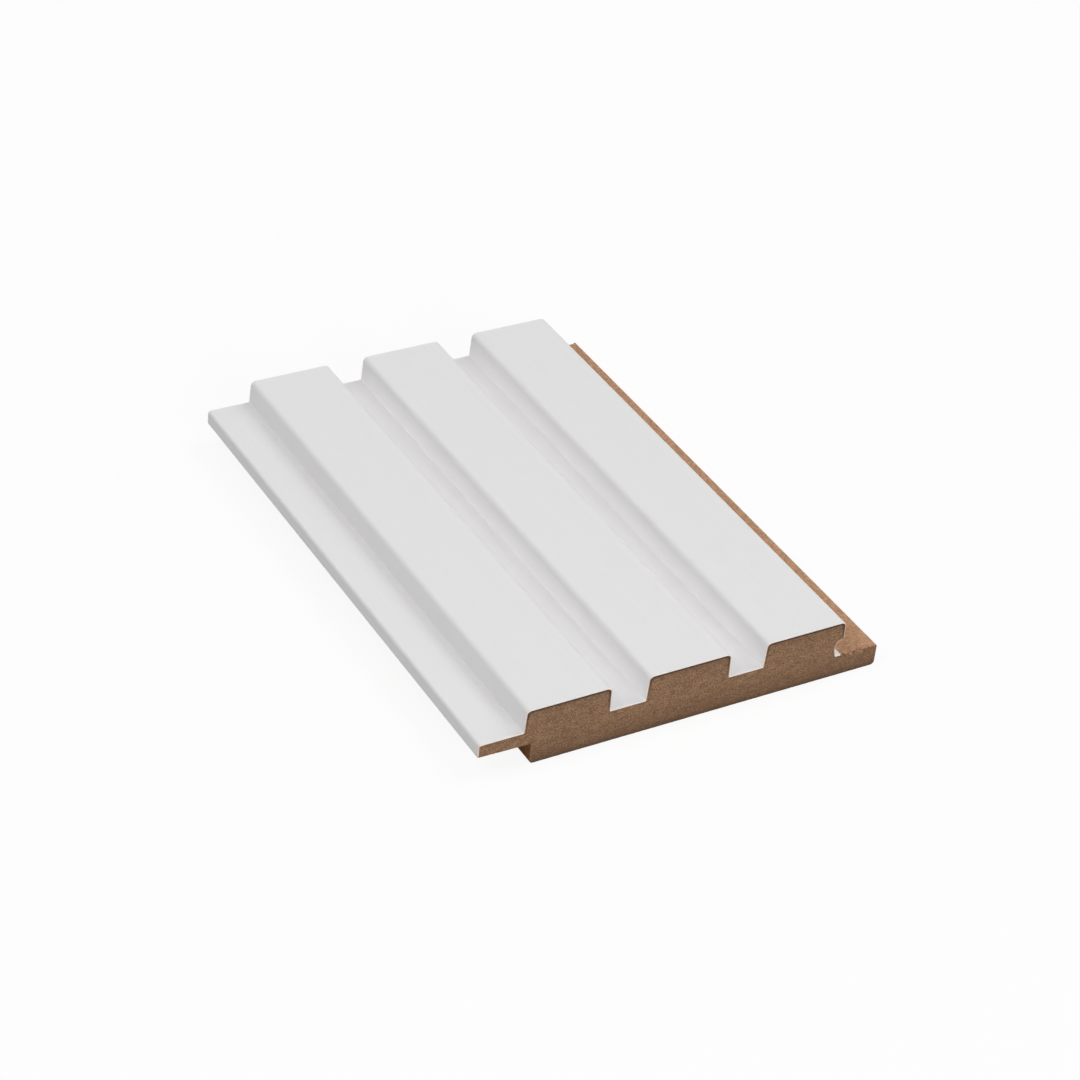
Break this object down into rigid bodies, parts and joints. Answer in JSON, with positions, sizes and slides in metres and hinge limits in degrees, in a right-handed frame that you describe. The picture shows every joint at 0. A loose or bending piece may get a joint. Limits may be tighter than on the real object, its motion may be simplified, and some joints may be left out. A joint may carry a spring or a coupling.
{
  "type": "mdf wall panel",
  "caption": "Grooved wall panel of MDF with white film on its face, a lip along one long edge and a flange with an undercut along the other, so that panels lap together.",
  "frame": {"origin": "in the plane of the bare back, in the middle of the overall width and length", "axes": "+X across the panel, from the lip to the flange; +Y along the ribs; +Z out of the back, towards the ribbed face"},
  "size_m": [0.1122, 0.15, 0.0163],
  "materials": {
    "raw_mdf": "sawn fibreboard, matt",
    "white_film": "smooth decorative film, satin"
  },
  "bodies": {
    "root": {"mdf_board": "raw_mdf", "white_film": "white_film"}
  },
  "joints": []
}
